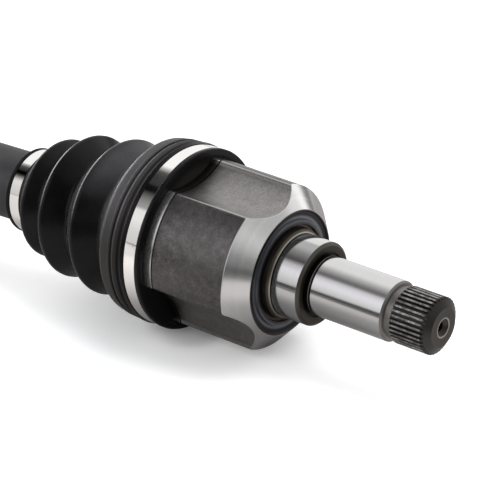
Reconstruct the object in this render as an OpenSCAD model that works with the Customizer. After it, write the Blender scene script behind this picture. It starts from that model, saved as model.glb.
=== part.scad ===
// Front half-shaft of a car, with a tripod plunging joint at its inboard end
// and a six-ball joint at its outboard end. Millimetres.
// X runs along the shaft towards the inboard stub, Z is up, and the origin is
// the middle of the face that seats against the wheel bearing.

/* [Layout] */
// Distance from the hub face to the middle of the ball joint
outboard_joint_x = 50; // [48:1:60]
// Distance between the middles of the two joints
joint_span = 412; // [380:1:520]
// Droop of the tripod housing when the shaft lies on a bench, in degrees
rest_droop = 2.7; // [0:0.1:4]
// Turn of the tripod joint about the shaft, in degrees
joint_roll = 10.5; // [0:0.5:40]

/* [Shaft] */
// Outer diameter of the tube between the boots
tube_d = 33.8; // [32:0.1:35]
// Wall of the tube
tube_wall = 4; // [3:0.25:5]
// Diameter of the splined ends that carry the race and the spider
splined_end_d = 24.8; // [23:0.1:25.4]
// Teeth on each splined end of the tube
end_teeth = 28; // [22:1:32]
// Diameter of the necks behind the joints
neck_d = 24; // [22:0.5:24.5]
// Radial gap between an end's splines and its hub
spline_gap = 0.03; // [0.02:0.01:0.08]

/* [Tripod joint] */
// Radius of the circle on which the three rollers sit
pitch_r = 24; // [23.5:0.1:24.5]
// Diameter of a roller
roller_d = 34; // [33:0.1:34.4]
// Width of a roller
roller_w = 11; // [10:0.1:11.5]
// Radius of a roller's crowned face
crown_r = 30; // [24:1:60]
// Gap between a roller's face and its track
track_gap = 0.08; // [0.05:0.01:0.15]
// Diameter of the ball head on each trunnion
head_d = 19; // [18.4:0.1:19.2]
// Gap between a ball head and its inner ring
head_gap = 0.1; // [0.08:0.01:0.12]
// Wall of the inner ring
inner_ring_wall = 2; // [1.8:0.1:2.2]
// Diameter of the needles
needle_d = 2.8; // [2.6:0.05:2.9]
// Needles in each roller
needle_count = 28; // [22:1:28]
// Gap on each side of a needle
needle_gap = 0.03; // [0.01:0.01:0.05]
// Thickness of the washers that close a roller
washer_t = 0.8; // [0.6:0.1:1]
// Outer diameter of the spider's hub
spider_hub_d = 33.6; // [32:0.2:34]
// Width of the spider's hub
spider_hub_w = 22; // [20:0.5:23]

/* [Tripod housing] */
// Diameter over the three lobes
lobe_d = 77.6; // [76.6:0.2:79]
// Diameter of the valleys between the lobes, measured across the middle
valley_d = 63; // [61:0.5:65]
// Angle of each lobe between its ridges
lobe_angle = 70; // [66:1:74]
// Radius of the rounded ridges beside the valleys
ridge_r = 2.5; // [1.5:0.25:3.5]
// Distance of the tulip's mouth from its datum plane
mouth_t = 39; // [38:0.5:41]
// Distance of the front shoulder from the datum plane
shoulder_t = 30.9; // [29:0.1:32]
// Distance of the nose from the datum plane
nose_t = 39.6; // [38.5:0.1:41]
// Radius of the nose
nose_r = 29.6; // [28.6:0.2:30.6]
// Distance of the tracks' closed ends from the datum plane
track_end_t = 31.9; // [31.8:0.1:32.4]
// How far the roller plane lies from the datum plane, towards the mouth
roller_set = 2.1; // [1.9:0.1:2.3]
// Diameter of the bore between the tracks
tulip_bore_d = 48; // [47:0.5:49]
// Distance of the bore's floor from the datum plane
tulip_bore_t = 28; // [27:0.5:29]
// Height of the tracks' roof above the roller circle
roof_h = 7.5; // [7.2:0.1:8]
// Diameter of the wire of the stop ring
stop_wire_d = 1.8; // [1.6:0.1:2]
// How far the turned land that carries the bush lies below the lobes
land_cut = 0.3; // [0.2:0.05:0.6]

/* [Inboard stub] */
// Diameter of the large journal, which runs in the seal
seal_journal_d = 39; // [38:0.5:40]
// Distance of the large journal's shoulder from the datum plane
seal_journal_t = 58; // [54:0.5:62]
// Diameter of the small journal
journal_d = 28; // [27:0.5:29]
// Distance of the small journal's end from the datum plane
journal_t = 99; // [94:0.5:104]
// Outer diameter of the stub's splines
stub_spline_d = 26.5; // [25.5:0.1:27]
// Distance of the splines' near end from the datum plane
stub_spline_t = 103.2; // [102:0.1:106]
// Length of the stub's splines
stub_spline_l = 16.8; // [14:0.2:22]
// Teeth on the stub
stub_teeth = 36; // [30:1:40]
// Length of the end chamfer
end_chamfer = 2.6; // [1.5:0.1:3]
// Radius of the end face inside the chamfer
end_face_r = 9.1; // [8:0.1:10]
// Radius of the centre hole's rim
centre_rim_r = 4.2; // [3.5:0.1:5]

/* [Ball joint] */
// Diameter of the balls
ball_d = 17.5; // [17:0.1:17.8]
// Radius of the circle on which the balls sit
ball_circle_r = 30; // [29.7:0.1:30.3]
// Gap between a ball and its tracks
ball_gap = 0.08; // [0.05:0.01:0.1]
// Thickness of the cage
cage_t = 4.5; // [4.2:0.1:4.8]
// Gap between the cage and the spheres that it runs on
cage_gap = 0.1; // [0.06:0.01:0.12]
// Width of the cage
cage_w = 28; // [27:0.5:29]
// Width of the inner race
race_w = 24; // [22:0.5:25]
// Greatest tilt of the cage to either race, in degrees
half_angle = 22; // [15:0.5:22]

/* [Bell] */
// Wall of the bell outside its ball tracks
bell_wall = 4.7; // [4.2:0.1:5.4]
// Depth of the step from the bell's outside down to its boot seat
seat_step = 3; // [2.5:0.1:3.3]
// Distance of the bell's mouth from the ball circle
bell_mouth = 13.5; // [12.5:0.25:14]
// Distance of the step behind the boot seat from the ball circle
bell_step = 7.5; // [7:0.25:9]
// Diameter of the face that seats against the wheel bearing
hub_face_d = 44; // [42:0.5:46]
// Diameter of the pilot behind that face
pilot_d = 30; // [29:0.5:31]
// Length of the pilot
pilot_l = 8; // [6:0.5:10]
// Outer diameter of the hub splines
hub_spline_d = 28; // [26:0.1:28.5]
// Length of the hub splines
hub_spline_l = 42; // [36:1:50]
// Teeth of the hub splines
hub_teeth = 30; // [26:1:34]
// Outer diameter of the thread
thread_d = 24; // [22:1:24]
// Pitch of the thread
thread_pitch = 1.5; // [1.5:0.25:2]
// Turns of the thread
thread_turns = 14; // [10:1:18]

/* [Boots and clamps] */
// Wall of the boots' folds
boot_wall = 2.6; // [2.2:0.1:2.8]
// Wall of the bush where it lies over the lobes
bush_wall = 1.2; // [0.9:0.05:1.6]
// Gap between pieces of rubber and what they grip
grip_gap = 0.05; // [0.02:0.01:0.1]
// Wall of the boots' large ends under their clamps
large_cuff = 1.9; // [1.6:0.05:2.4]
// Wall of the boots' small ends under their clamps
small_cuff = 2.4; // [2:0.1:3]
// Thickness of the clamp bands
band_t = 0.8; // [0.6:0.1:1]
// Width of the large clamps
large_band_w = 6.1; // [5.5:0.1:7]
// Width of the small clamps
small_band_w = 5.5; // [4.5:0.1:6]
// Height of a clamp's crimped ear
ear_h = 4; // [3:0.25:5]
// Width of a clamp's crimped ear
ear_w = 8; // [6:0.5:10]
// Direction of the ears round the shaft, in degrees from Y towards Z
ear_angle = -25; // [-60:1:60]

/* [Hidden] */
$fn = 96;

// A little extra that lets a cut run past the face it starts from
past = 1;

// Places along the shaft
inboard_joint_x = outboard_joint_x + joint_span;
hinge_h = pitch_r / 2;
swing_r = pitch_r + hinge_h;
roller_r = roller_d / 2;
head_r = head_d / 2;
tube_r = tube_d / 2;
neck_r = neck_d / 2;
end_r = splined_end_d / 2;

// How far the splined ends stand past their hubs, and the rings that hold them
end_proud = 3.2;
circlip_t = 1.3;
circlip_deep = 1.1;
circlip_proud = 1.2;
collar_w = 4;
collar_r = end_r + 1.4;
// The necks swell into the tube just before the boots' cuffs
swell_l = 18;
swell_clear = 4;
end_fit = 0.05;

// Rollers and their bearings
ring_bore_r = head_r + head_gap;
ring_r = ring_bore_r + inner_ring_wall;
needle_circle_r = ring_r + needle_gap + needle_d / 2;
roller_bore_r = needle_circle_r + needle_d / 2 + needle_gap;
washer_out_r = roller_bore_r + 0.8;
washer_in_r = ring_bore_r + 0.7;
washer_inset = 0.6;
bearing_l = roller_w - 2 * (washer_inset + washer_t + end_fit);
head_half = 6.5;
trunnion_r = 7.6;

// The tulip's outline: each valley is an arc through its ridges
lobe_r = lobe_d / 2;
valley_r = valley_d / 2;
land_r = lobe_r - land_cut;
bush_r = lobe_r + bush_wall;
valley_half = 60 - lobe_angle / 2;
valley_sag = lobe_r * cos(valley_half) - valley_r;
valley_chord = lobe_r * sin(valley_half);
valley_arc_r = (pow(valley_chord, 2) + pow(valley_sag, 2)) / (2 * valley_sag);
valley_centre = valley_r + valley_arc_r;
ridge_proud = 0.03;
mouth_flare = 2.8;
mouth_flare_l = 8;
land_start_t = 9.6;
land_groove_w = 0.9;
land_groove_deep = 0.9;
stop_ring_r = tulip_bore_d / 2 + 3.2;
stop_ring_t = mouth_t - 1.9;
// Where the large journal begins, in front of the nose
seal_root_t = nose_t + 4.3;

// Ball joint
ball_r = ball_d / 2;
track_r = ball_r + ball_gap;
cage_in_r = ball_circle_r - cage_t / 2 - 0.25;
cage_out_r = cage_in_r + cage_t;
race_r = cage_in_r - cage_gap;
bell_bore_r = cage_out_r + cage_gap;
bell_r = ball_circle_r + track_r + bell_wall;
bell_seat_r = bell_r - seat_step;
track_reach = half_angle + 1.5;
// Angles of half of the balls, from the tilt axis
ball_angle = 60;
ball_places = [for (k = [0:2]) (k + 0.5) * ball_angle];
track_tail = 6;
mouth_cone_x = 6;
bell_lip = 4.4;
window_side = 1.2;

// Boots, from each joint's middle or datum plane towards the tube
fold_steps = 6;
boot_sides = 32;
large_seat_r = bush_r + large_cuff;
bell_boot_seat_r = bell_seat_r + large_cuff;
small_seat_r = tube_r + small_cuff;
small_boot_end = 114.7;
small_lip = 2.4;
small_band_at = small_boot_end - small_lip - small_band_w / 2 - 0.3;
large_boot_end = 13.1;
large_lip = 2.5;
large_band_at = large_boot_end + large_lip + large_band_w / 2 + 0.15;
boot_grip_r = tube_r + grip_gap;
bend_from = 40;
bend_to = 60;
outboard_small_end = 99;
outboard_band_at = outboard_small_end - small_lip - small_band_w / 2 - 0.3;
outboard_boot_end = 6.8;
outboard_lip = 6.4;
outboard_large_band_at = -outboard_boot_end + outboard_lip + large_band_w / 2 + 0.15;
// Where the cuffs begin, behind the last folds
cuff_run = small_band_w / 2 + 2.9;
inboard_cuff_t = small_band_at - cuff_run;
outboard_cuff_at = outboard_band_at - cuff_run;

// Splines and the ends of the stubs
spline_depth = 0.9;
stub_relief_r = stub_spline_d / 2 - spline_depth - 0.3;
stub_end_t = stub_spline_t + stub_spline_l + end_chamfer;

// Places along the hub stub, from the hub face outwards
hub_spline_from = pilot_l + 1.5;
hub_spline_to = pilot_l + 2 + hub_spline_l;
thread_from = hub_spline_to + 3;
thread_to = thread_from + thread_turns * thread_pitch;
hub_stub_l = thread_to + 3.5;
centre_hole_l = 9;

steel = [0.72, 0.72, 0.73];
forged = [0.30, 0.29, 0.28];
painted = [0.16, 0.16, 0.17];
rubber = [0.06, 0.06, 0.065];
bearing_steel = [0.80, 0.80, 0.82];
stainless = [0.86, 0.86, 0.87];
cage_black = [0.22, 0.22, 0.23];

// Frames: the two joints on the shaft, and the tulip drooped about the line
// through the two upper ball heads
module at_outboard() translate([outboard_joint_x, 0, 0]) rotate([90, 0, 0]) children();

module at_inboard() translate([inboard_joint_x, 0, 0]) rotate([joint_roll, 0, 0]) children();

module drooped() at_inboard()
    translate([0, 0, hinge_h]) rotate([0, rest_droop, 0]) translate([0, 0, -hinge_h]) children();

module on_tulip() drooped() translate([roller_set, 0, 0]) children();

// The lower roller is carried along its track by the droop
function roller_shift(i) = i == 1 ? swing_r * sin(rest_droop) : 0;

// Turns the local Z axis to the direction of trunnion 1, 2 or 3
module to_trunnion(i) rotate([[-180, -60, 60][i - 1], 0, 0]) children();

module at_roller(i)
    drooped() translate([roller_shift(i), 0, 0]) to_trunnion(i) translate([0, 0, pitch_r]) children();

// Solids along X: a turned outline of [x, r] points, a bar and a prism
module turned(outline) rotate([90, 0, 90]) rotate_extrude() polygon([for (p = outline) [p.y, p.x]]);

module bar(from, to, r) translate([from, 0, 0]) rotate([0, 90, 0]) cylinder(r = r, h = to - from);

module prism(from, to) translate([from, 0, 0]) rotate([90, 0, 90]) linear_extrude(to - from) children();

// Straight-sided splines: tooth flanks lean between the root and the tip
module spline_outline(tip_r, teeth, grow = 0) {
    pitch = 360 / teeth;
    root_r = tip_r - spline_depth;
    polygon([for (k = [0:teeth - 1], c = [[root_r, -0.34], [tip_r, -0.19], [tip_r, 0.19], [root_r, 0.34]])
        (c.x + grow) * [cos((k + c.y) * pitch), sin((k + c.y) * pitch)]]);
}

// A turned bar that ramps the ends of a spline, from [x, r, length of the ramp]
// at each end. Its ramps run on past the tips of the teeth
module spline_ramps(tip_r, near, far) {
    on = 1.3;
    turned([
        [near.x, 0], [near.x, near.y], [near.x + near.z * on, near.y + (tip_r - near.y) * on],
        [far.x - far.z * on, far.y + (tip_r - far.y) * on], [far.x, far.y], [far.x, 0]
    ]);
}

// An open wire ring or circlip of rectangular section
module open_ring(from, to, in_r, out_r, gap_angle) translate([from, 0, 0]) rotate([90, 0, 90])
    rotate([0, 0, gap_angle / 2]) rotate_extrude(angle = 360 - gap_angle)
        translate([in_r, 0]) square([out_r - in_r, to - from]);

// Shaft: a splined end that stands past its hub, with a groove for its ring
module splined_end(hub_half) {
    reach = hub_half + end_proud;
    groove_from = hub_half + end_fit;
    difference() {
        intersection() {
            prism(-hub_half - past, reach) spline_outline(end_r, end_teeth);
            turned([
                [-hub_half - past, 0], [-hub_half - past, end_r + past], [reach - 1.2 - past, end_r + past],
                [reach, end_r - 1.2], [reach, 0]
            ]);
        }
        difference() {
            bar(groove_from, groove_from + circlip_t + end_fit, end_r + past);
            bar(groove_from - past, groove_from + circlip_t + past, end_r - circlip_deep);
        }
    }
}

// Half of the tube's outline from a hub's back face to full size before a
// boot's cuff, as [distance, r] points
function tube_outline(hub_half, cuff_at) = let (from = hub_half + end_fit, full_at = cuff_at - swell_clear) [
    [from, collar_r - 0.5], [from + 0.5, collar_r], [from + collar_w - 1.4, collar_r],
    [from + collar_w, neck_r], [full_at - swell_l, neck_r], [full_at, tube_r]
];

module shaft_tube() color(painted) {
    race_half = race_w / 2;
    hub_half = spider_hub_w / 2;
    inboard_half = reversed(tube_outline(hub_half, inboard_cuff_t - roller_set));
    outboard_side = [for (p = tube_outline(race_half, outboard_cuff_at)) [outboard_joint_x + p.x, p.y]];
    inboard_side = [for (p = inboard_half) [inboard_joint_x - p.x, p.y]];
    translate([outboard_joint_x, 0, 0]) mirror([1, 0, 0]) splined_end(race_half);
    at_inboard() splined_end(hub_half);
    difference() {
        turned(concat([[outboard_side[0].x, 0]], outboard_side, inboard_side, [[inboard_side[5].x, 0]]));
        bar(outboard_side[5].x, inboard_side[0].x, tube_r - tube_wall);
    }
}

// Tripod joint
module tripod_spider() color(steel) at_inboard() difference() {
    hub_r = spider_hub_d / 2;
    half = spider_hub_w / 2;
    union() {
        turned([
            [-half, 0], [-half, hub_r - 2], [-half + 3.5, hub_r],
            [half - 3.5, hub_r], [half, hub_r - 2], [half, 0]
        ]);
        for (i = [1:3]) to_trunnion(i) {
            cylinder(r = trunnion_r, h = pitch_r - 4);
            translate([0, 0, pitch_r]) intersection() {
                sphere(r = head_r);
                cylinder(r = head_r + past, h = 2 * head_half, center = true);
            }
        }
    }
    prism(-half - past, half + past) spline_outline(end_r, end_teeth, spline_gap);
}

module circlip(hub_half) open_ring(
    hub_half + end_fit * 1.5, hub_half + end_fit * 1.5 + circlip_t - end_fit,
    end_r - circlip_deep + end_fit, end_r + circlip_proud, 24);

module spider_circlip() color(bearing_steel) at_inboard() circlip(spider_hub_w / 2);

module inner_ring(i) color(bearing_steel) at_roller(i) difference() {
    cylinder(r = ring_r, h = bearing_l, center = true);
    cylinder(r = ring_bore_r, h = bearing_l + 2 * past, center = true);
}

module needle_set(i) color(bearing_steel) at_roller(i)
    for (k = [0:needle_count - 1]) rotate(k * 360 / needle_count)
        translate([needle_circle_r, 0, 0]) cylinder(r = needle_d / 2, h = bearing_l, center = true, $fn = 24);

// The crowned face of a roller, and of the track it runs in with the gap added
module crowned_outline(gap, half) intersection() {
    translate([roller_r - crown_r, 0]) circle(r = crown_r + gap, $fn = 180);
    translate([0, -half]) square([roller_r + past, 2 * half]);
}

module roller(i) color(bearing_steel) at_roller(i) rotate_extrude() difference() {
    crowned_outline(0, roller_w / 2);
    translate([0, -roller_w]) square([roller_bore_r, 2 * roller_w]);
    for (s = [-1, 1]) {
        translate([0, s * (roller_w / 2 - washer_inset - washer_t / 2) - washer_t / 2 - end_fit / 2])
            square([washer_out_r + end_fit, washer_t + end_fit]);
        translate([roller_r, s * roller_w / 2]) rotate(45) square(0.9, center = true);
    }
}

module roller_washers(i) color(steel) at_roller(i) for (s = [-1, 1])
    translate([0, 0, s * (roller_w / 2 - washer_inset - washer_t / 2)]) difference() {
        cylinder(r = washer_out_r, h = washer_t, center = true);
        cylinder(r = washer_in_r, h = washer_t + past, center = true);
    }

// Tulip outline: three arcs on the lobe circle, a hollow arc in each valley,
// and a round ridge that stands a hair proud of both where they meet
module lobed_outline(r, gap = 0) {
    ridge_at = r - ridge_r;
    ridge_turn = acos((pow(ridge_at, 2) + pow(valley_centre, 2) - pow(valley_arc_r + ridge_r, 2))
        / (2 * ridge_at * valley_centre));
    ridge = ridge_at * [cos(ridge_turn), sin(ridge_turn)];
    to_valley = [valley_centre, 0] - ridge;
    inner_touch = ridge + ridge_r * to_valley / norm(to_valley);
    outer_touch = r * [cos(ridge_turn), sin(ridge_turn)];
    beyond = 1.2;
    for (k = [0:2]) rotate(90 + k * 120) for (m = [0, 1]) mirror([0, m, 0])
        translate(ridge) circle(r = ridge_r + ridge_proud + gap, $fn = 48);
    difference() {
        circle(r = r + gap, $fn = 192);
        for (k = [0:2]) rotate(90 + k * 120) {
            translate([valley_centre, 0]) circle(r = valley_arc_r - gap, $fn = 192);
            for (m = [0, 1]) mirror([0, m, 0])
                polygon([ridge, inner_touch, inner_touch * beyond, outer_touch * beyond, outer_touch]);
        }
    }
}

// Turned details of the nose round the large journal, as [t, r] points
module tulip_turned_outline() turned([
    [-mouth_t, 0], [-mouth_t, lobe_r - 2.6], [-mouth_t + 2.4, land_r], [-land_start_t, land_r],
    [-land_start_t, lobe_r + past],
    [shoulder_t - past * (nose_t - shoulder_t) / (lobe_r - nose_r), lobe_r + past],
    [nose_t, nose_r], [nose_t, nose_r - 0.6], [nose_t - 0.8, nose_r - 1.2],
    [nose_t - 0.8, seal_journal_d / 2 + 5.6], [nose_t + 0.3, seal_journal_d / 2 + 5.2],
    [nose_t + 0.3, seal_journal_d / 2 + 3.4], [nose_t - 0.7, seal_journal_d / 2 + 3],
    [nose_t - 0.7, seal_journal_d / 2 + 1.9], [seal_root_t - 2, seal_journal_d / 2 + 1.6],
    [seal_root_t - 0.8, seal_journal_d / 2 + 0.1], [seal_root_t - 0.8, seal_journal_d / 2 - 0.4],
    [seal_root_t - 0.3, seal_journal_d / 2 - 0.4], [seal_root_t, seal_journal_d / 2],
    [seal_journal_t - 1.2, seal_journal_d / 2], [seal_journal_t, seal_journal_d / 2 - 1.5],
    [seal_journal_t, journal_d / 2 + 0.9], [seal_journal_t - 0.5, journal_d / 2 + 0.7],
    [seal_journal_t - 0.5, journal_d / 2 - 0.3], [seal_journal_t + 1.2, journal_d / 2 - 0.3],
    [seal_journal_t + 1.5, journal_d / 2], [journal_t - 0.8, journal_d / 2], [journal_t, journal_d / 2 - 0.9],
    [journal_t + 0.4, stub_relief_r], [stub_spline_t - 0.5, stub_relief_r], [stub_spline_t - 0.5, 0]
]);

module stub_splines() intersection() {
    tip_r = stub_spline_d / 2;
    prism(stub_spline_t - 2 * past, stub_end_t + past) spline_outline(tip_r, stub_teeth);
    spline_ramps(tip_r, [stub_spline_t - 1, stub_relief_r, 1], [stub_end_t, end_face_r, end_chamfer]);
}

module centre_drilling(face) {
    drill_r = centre_rim_r * 0.5;
    turned([
        [face - centre_hole_l, 0], [face - centre_hole_l, drill_r * 0.2],
        [face - centre_hole_l + 1.2, drill_r],
        [face - 1.7, drill_r], [face - 0.8, centre_rim_r * 0.82], [face, centre_rim_r],
        [face + past, centre_rim_r], [face + past, 0]
    ]);
}

// One roller track: two crowned walls, a roof, and a closed end that follows
// the roller round
module roller_track(i) to_trunnion(i) translate([0, 0, pitch_r]) {
    end_at = track_end_t - roller_r;
    translate([-mouth_t - past, 0, 0]) rotate([90, 0, 90]) linear_extrude(mouth_t + past + end_at)
        for (m = [0, 1]) mirror([m, 0, 0]) crowned_outline(track_gap, roof_h);
    translate([end_at, 0, 0]) rotate_extrude() crowned_outline(track_gap, roof_h);
}

module tulip_housing() color(forged) on_tulip() difference() {
    bore_r = tulip_bore_d / 2;
    union() {
        intersection() {
            prism(-mouth_t, nose_t + past) lobed_outline(lobe_r);
            tulip_turned_outline();
        }
        intersection() {
            tulip_turned_outline();
            bar(nose_t - 3, stub_spline_t, nose_r);
        }
        stub_splines();
    }
    difference() {
        bar(-land_start_t, -land_start_t + land_groove_w, lobe_r + past);
        bar(-land_start_t - past, -land_start_t + land_groove_w + past, lobe_r - land_groove_deep);
    }
    for (i = [1:3]) roller_track(i);
    turned([
        [-mouth_t - past, 0], [-mouth_t - past, bore_r + mouth_flare], [-mouth_t, bore_r + mouth_flare],
        [-mouth_t + mouth_flare_l, bore_r], [tulip_bore_t - 5, bore_r],
        [tulip_bore_t, bore_r - 9], [tulip_bore_t, 0]
    ]);
    bar(-stop_ring_t - stop_wire_d / 2 - end_fit, -stop_ring_t + stop_wire_d / 2 + end_fit,
        stop_ring_r + stop_wire_d / 2 + end_fit);
    centre_drilling(stub_end_t);
}

module tulip_stop_ring() color(bearing_steel) on_tulip()
    translate([-stop_ring_t, 0, 0]) rotate([90, 0, 90]) rotate([0, 0, 100])
        rotate_extrude(angle = 340) translate([stop_ring_r, 0]) circle(r = stop_wire_d / 2, $fn = 24);

module boot_bush() color(rubber) on_tulip() prism(-mouth_t + 2.6, -large_boot_end - 0.4) difference() {
    circle(r = bush_r, $fn = 192);
    intersection() {
        lobed_outline(lobe_r, grip_gap);
        circle(r = land_r + grip_gap, $fn = 192);
    }
}

// Clamps: a band, and a crimped ear that stands over the band's gap
module clamp(at, seat_r, width) prism(at - width / 2, at + width / 2) rotate(ear_angle) {
    in_r = seat_r + grip_gap;
    out_r = in_r + band_t;
    leg = 1.2;
    difference() {
        union() {
            circle(r = out_r, $fn = 192);
            translate([in_r, -ear_w / 2]) square([ear_h - leg, ear_w]);
            translate([in_r + ear_h - leg, -ear_w / 2 + leg]) square([leg, ear_w - 2 * leg]);
            for (s = [-1, 1]) translate([in_r + ear_h - leg, s * (ear_w / 2 - leg)])
                circle(r = leg, $fn = 32);
        }
        circle(r = in_r, $fn = 192);
        translate([in_r - past, -ear_w / 2 + leg]) square([ear_h - leg + past, ear_w - 2 * leg]);
    }
}

module inboard_large_clamp() color(stainless) on_tulip() clamp(-large_band_at, large_seat_r, large_band_w);

module inboard_small_clamp() color(stainless) translate([inboard_joint_x + roller_set, 0, 0])
    clamp(-small_band_at, small_seat_r, small_band_w);

module outboard_small_clamp() color(stainless) translate([outboard_joint_x, 0, 0])
    clamp(outboard_band_at, small_seat_r, small_band_w);

module outboard_large_clamp() color(stainless) translate([outboard_joint_x, 0, 0])
    clamp(outboard_large_band_at, bell_boot_seat_r, large_band_w);

// Boot outlines. Each row of folds is a list of [x, r] turning points, joined
// by smooth half waves
function waves(keys) = [for (i = [0:len(keys) - 2], j = [0:fold_steps - 1])
    let (u = j / fold_steps, s = (1 - cos(180 * u)) / 2)
    [keys[i].x + (keys[i + 1].x - keys[i].x) * u, keys[i].y + (keys[i + 1].y - keys[i].y) * s]];

function thinner(keys) = [for (k = keys) [k.x, k.y - boot_wall]];

function reversed(list) = [for (i = [len(list) - 1:-1:0]) list[i]];

// Folds of the inboard boot from its shoulder to its neck
inboard_folds = [
    [-35, large_seat_r + 0.3], [-47, 30.5], [-59.2, 37.2], [-70.3, 27.4], [-80.9, 34.3], [-89.6, 24.2],
    [-97.3, 28.7], [-inboard_cuff_t, small_seat_r + 1.1]
];

function inboard_boot_outline() = let (
    large_r = large_seat_r,
    small_r = small_seat_r,
    hold_r = bush_r / cos(180 / boot_sides) + grip_gap,
    neck_in_r = boot_grip_r / cos(180 / boot_sides) + grip_gap,
    folds = inboard_folds,
    last = folds[len(folds) - 1],
    flange = large_band_at + large_band_w / 2 + 0.15
) concat(
    [[-large_boot_end, large_r - 0.4], [-large_boot_end - 0.8, large_r + 1.1],
     [-large_boot_end - large_lip + 0.4, large_r + 1.1], [-large_boot_end - large_lip, large_r + 0.4],
     [-large_boot_end - large_lip, large_r], [-flange, large_r], [-flange, large_r + 1.3],
     [-flange - 0.6, large_r + 1.8], [-flange - 2, large_r + 1.8], [-flange - 3, large_r + 1],
     [-flange - 4, large_r - 0.5], [-flange - 5.4, large_r - 0.4], [-flange - 7, large_r + 0.7],
     [-flange - 8.4, large_r + 0.9], [-flange - 8.9, large_r + 0.5], [-flange - 11, large_r + 0.6]],
    waves(folds),
    [last, [-small_band_at + small_band_w / 2 + 0.3, small_r + 0.9],
     [-small_band_at + small_band_w / 2 + 0.3, small_r],
     [-small_band_at - small_band_w / 2 - 0.3, small_r],
     [-small_band_at - small_band_w / 2 - 0.3, small_r + 1],
     [-small_boot_end + 0.6, small_r + 1.1], [-small_boot_end, small_r + 0.5]],
    [[-small_boot_end, neck_in_r], [last.x, neck_in_r]],
    reversed(waves(thinner([for (i = [1:len(folds) - 2]) folds[i]]))),
    [[-mouth_t - 1, hold_r - 2.4], [-mouth_t + 1.2, hold_r], [-large_boot_end, hold_r]]
);

// Bends a point of the boot from the tulip's axis over to the shaft's axis
function ease(u) = let (v = min(1, max(0, u))) v * v * (3 - 2 * v);

function bent(p) = let (
    turn = rest_droop * ease((bend_to + p.x) / (bend_to - bend_from)),
    x = p.x + roller_set,
    z = p.z - hinge_h
) [x * cos(turn) + z * sin(turn), p.y, z * cos(turn) - x * sin(turn) + hinge_h];

module inboard_boot() color(rubber) at_inboard() {
    outline = inboard_boot_outline();
    n = len(outline);
    points = [for (p = outline, j = [0:boot_sides - 1]) let (a = 360 * j / boot_sides)
        bent([p.x, p.y * cos(a), p.y * sin(a)])];
    faces = [for (i = [0:n - 1], j = [0:boot_sides - 1]) let (k = (i + 1) % n, m = (j + 1) % boot_sides)
        [i * boot_sides + j, i * boot_sides + m, k * boot_sides + m, k * boot_sides + j]];
    polyhedron(points, faces);
}

// Folds of the outboard boot from its shoulder to its neck
outboard_folds = [
    [18.5, bell_boot_seat_r + 0.6], [28.5, 31.5], [37.5, 39.6], [46, 28], [54, 36], [61.5, 25.4],
    [68, 31.8], [74.5, 22.6], [80.5, 27.4], [outboard_cuff_at, small_seat_r + 1.1]
];

module outboard_boot() color(rubber) {
    large_r = bell_boot_seat_r;
    small_r = small_seat_r;
    hold_r = bell_seat_r + grip_gap;
    flange = outboard_large_band_at + large_band_w / 2 + 0.15;
    lip_end = -outboard_boot_end + outboard_lip;
    folds = outboard_folds;
    last = folds[len(folds) - 1];
    translate([outboard_joint_x, 0, 0]) turned(concat(
        [[-outboard_boot_end, large_r - 0.3], [-outboard_boot_end + 0.8, large_r + 0.9],
         [lip_end - 0.4, large_r + 0.9],
         [lip_end, large_r + 0.4], [lip_end, large_r], [flange, large_r], [flange, large_r + 1],
         [flange + 0.6, large_r + 1.3], [flange + 2, large_r + 1.3], [flange + 3, large_r + 0.4],
         [flange + 4.4, large_r - 0.4], [flange + 6, large_r + 0.3], [flange + 8, large_r + 0.6]],
        waves(folds),
        [last, [outboard_band_at - small_band_w / 2 - 0.3, small_r + 0.9],
         [outboard_band_at - small_band_w / 2 - 0.3, small_r],
         [outboard_band_at + small_band_w / 2 + 0.3, small_r],
         [outboard_band_at + small_band_w / 2 + 0.3, small_r + 1.2], [outboard_small_end - 0.6, small_r + 1.4],
         [outboard_small_end, small_r + 0.8]],
        [[outboard_small_end, boot_grip_r], [last.x, boot_grip_r]],
        reversed(waves(thinner([for (i = [1:len(folds) - 2]) folds[i]]))),
        [[bell_mouth + 2.6, hold_r - 2], [bell_mouth + 0.6, hold_r], [-outboard_boot_end, hold_r]]
    ));
}

// Ball joint, drawn with its tilt axis along local Z
module ball_track(place, mouth_run, closed_run) {
    rho = ball_circle_r * sin(place);
    translate([0, 0, ball_circle_r * cos(place)]) rotate([0, 0, 90]) {
        rotate([0, 0, -track_reach]) {
            rotate_extrude(angle = 2 * track_reach) translate([rho, 0]) circle(r = track_r);
            translate([rho, 0, 0]) rotate([90, 0, 0]) cylinder(r = track_r, h = mouth_run);
        }
        rotate([0, 0, track_reach]) translate([rho, 0, 0]) {
            sphere(r = track_r);
            rotate([-90, 0, 0]) cylinder(r = track_r, h = closed_run);
        }
    }
}

module ball_tracks(mouth_run, closed_run) for (m = [0, 1]) mirror([0, m, 0]) for (place = ball_places)
    ball_track(place, mouth_run, closed_run);

// A sphere with its poles on X, clear of the cage's windows
module joint_sphere(r) rotate([0, 90, 0]) sphere(r = r, $fn = 144);

module inner_race() color(bearing_steel) at_outboard() difference() {
    intersection() {
        joint_sphere(race_r);
        bar(-race_w / 2, race_w / 2, race_r + past);
    }
    ball_tracks(race_w, race_w);
    rotate([-90, 0, 0]) prism(-race_w, race_w) spline_outline(end_r, end_teeth, spline_gap);
}

module race_circlip() color(bearing_steel) translate([outboard_joint_x, 0, 0]) mirror([1, 0, 0])
    circlip(race_w / 2);

module joint_balls() color(bearing_steel) at_outboard() for (m = [0, 1]) mirror([0, m, 0])
    for (place = ball_places) translate(ball_circle_r * [0, sin(place), cos(place)]) sphere(r = ball_r);

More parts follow.
